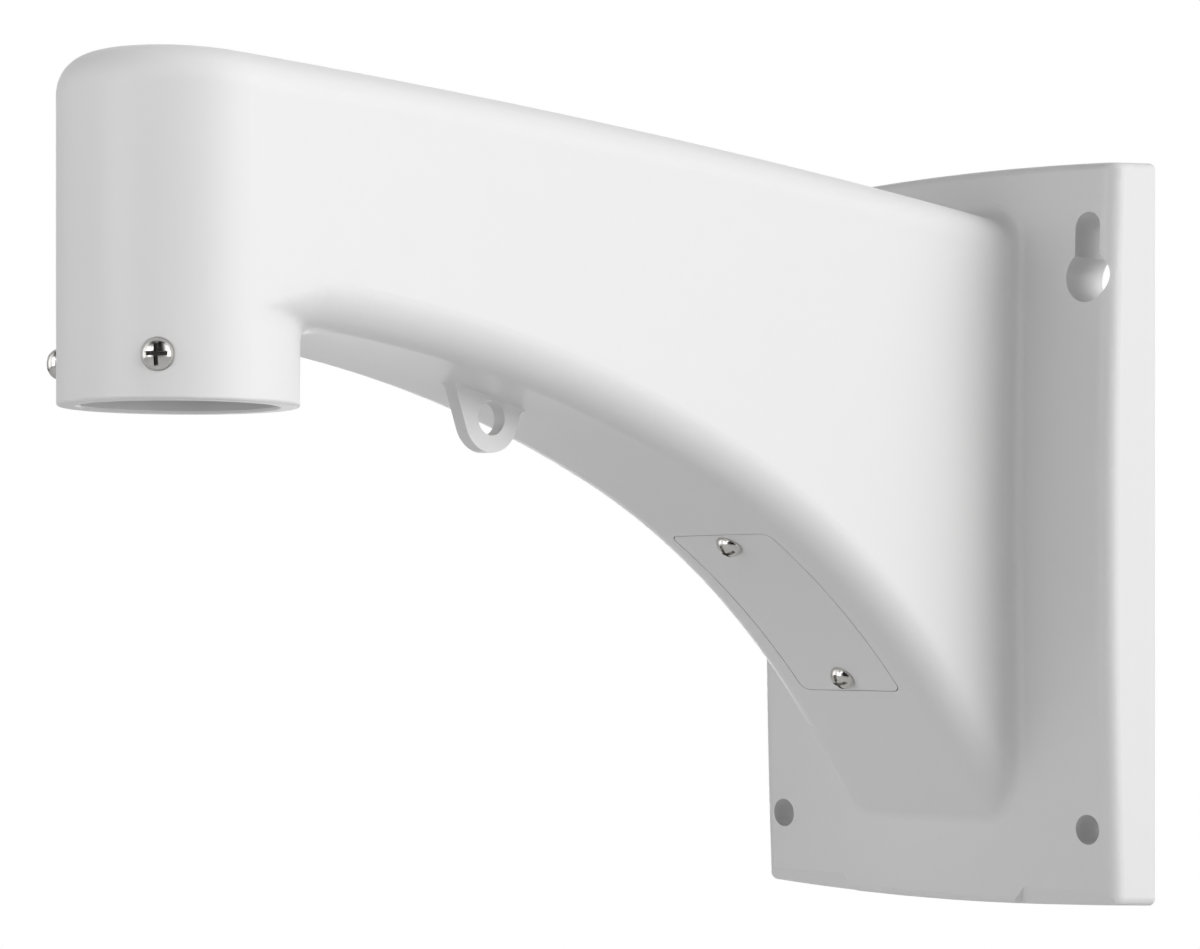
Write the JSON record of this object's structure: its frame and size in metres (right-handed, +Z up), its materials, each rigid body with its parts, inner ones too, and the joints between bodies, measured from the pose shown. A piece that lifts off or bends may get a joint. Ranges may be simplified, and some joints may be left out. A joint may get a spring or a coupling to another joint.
{
  "type": "camera wall bracket",
  "caption": "Hollow die-cast wall bracket: a curved arm carries a downward round mouth for a dome camera, its cable runs inside to the wall.",
  "frame": {"origin": "middle of the wall plate's back, on the wall", "axes": "+Z up, +Y into the wall, so the arm reaches out along -Y; +X to the right seen from the room"},
  "size_m": [0.1342, 0.3052, 0.2102],
  "materials": {
    "painted_casting": "satin powder coat",
    "painted_cover": "satin powder coat",
    "seal": "matt",
    "stainless_screw": "bright stainless steel"
  },
  "bodies": {
    "root": {"bracket_casting": "painted_casting", "cover_plate": "painted_cover", "cover_gasket": "seal", "cover_screw_upper": "stainless_screw", "cover_screw_lower": "stainless_screw", "mouth_screw_right": "stainless_screw", "mouth_screw_left": "stainless_screw"}
  },
  "joints": []
}
